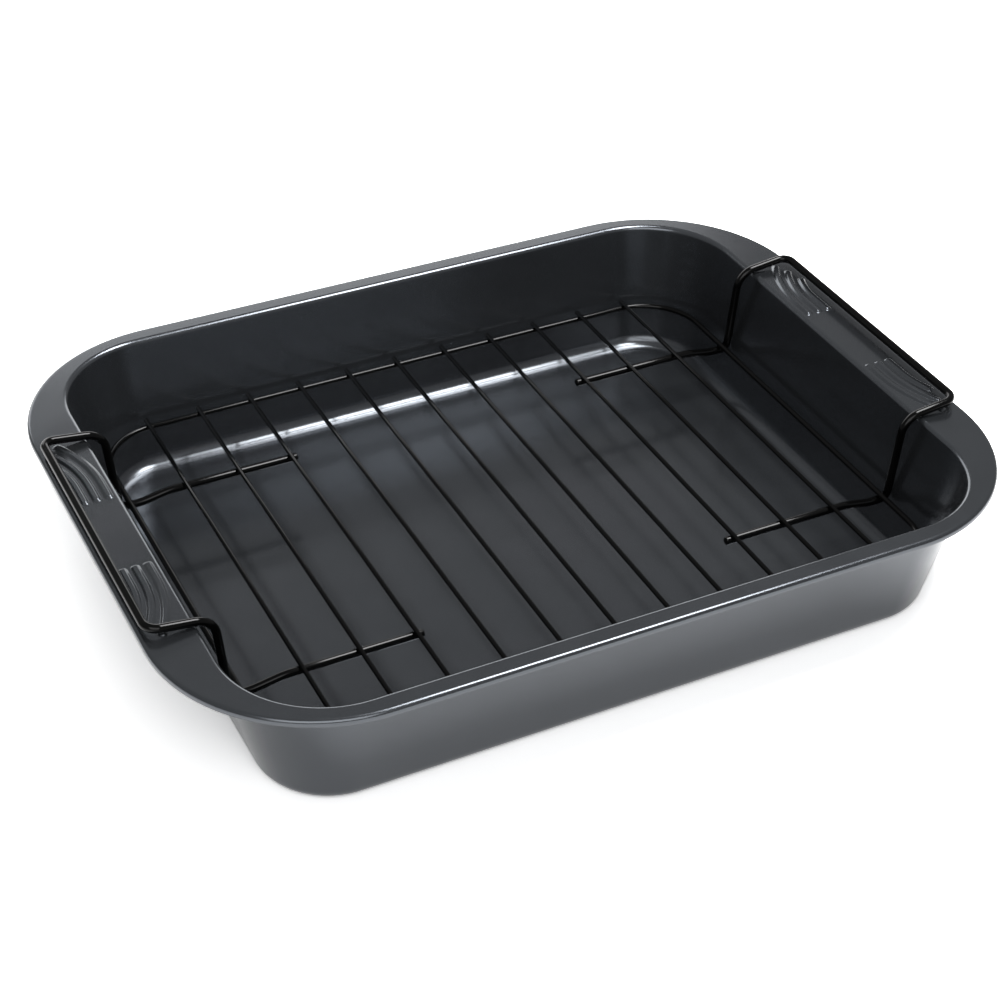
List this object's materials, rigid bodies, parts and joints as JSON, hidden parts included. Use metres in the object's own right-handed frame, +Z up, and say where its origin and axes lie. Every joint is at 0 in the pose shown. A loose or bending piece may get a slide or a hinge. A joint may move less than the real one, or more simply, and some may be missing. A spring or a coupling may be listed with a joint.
{
  "type": "roasting pan with rack",
  "caption": "Rectangular roasting pan with leaning walls, wide ribbed handle ends and a wire rack that hangs on its end lips by bent grip wires and lifts out.",
  "frame": {"origin": "on the table below the middle of the pan", "axes": "+X along the pan's length towards its right handle, +Y across towards its rear wall, +Z up"},
  "size_m": [0.43, 0.33, 0.0773],
  "materials": {
    "pan_coating": "dark grey non-stick coating, satin, on pressed steel sheet",
    "wire_coating": "glossy black coating on steel wire"
  },
  "bodies": {
    "pan": {"pan": "pan_coating"},
    "rack": {"rack_ring": "wire_coating", "cross_wire_01": "wire_coating", "cross_wire_02": "wire_coating", "cross_wire_03": "wire_coating", "cross_wire_04": "wire_coating", "cross_wire_05": "wire_coating", "cross_wire_06": "wire_coating", "cross_wire_07": "wire_coating", "cross_wire_08": "wire_coating", "cross_wire_09": "wire_coating", "cross_wire_10": "wire_coating", "cross_wire_11": "wire_coating", "grip_wire_left": "wire_coating", "grip_wire_right": "wire_coating"}
  },
  "joints": [
    {"name": "rack_lift", "type": "slide", "parent": "pan", "child": "rack", "axis": [0, 0, 1], "range_m": [0, 0.1]}
  ]
}
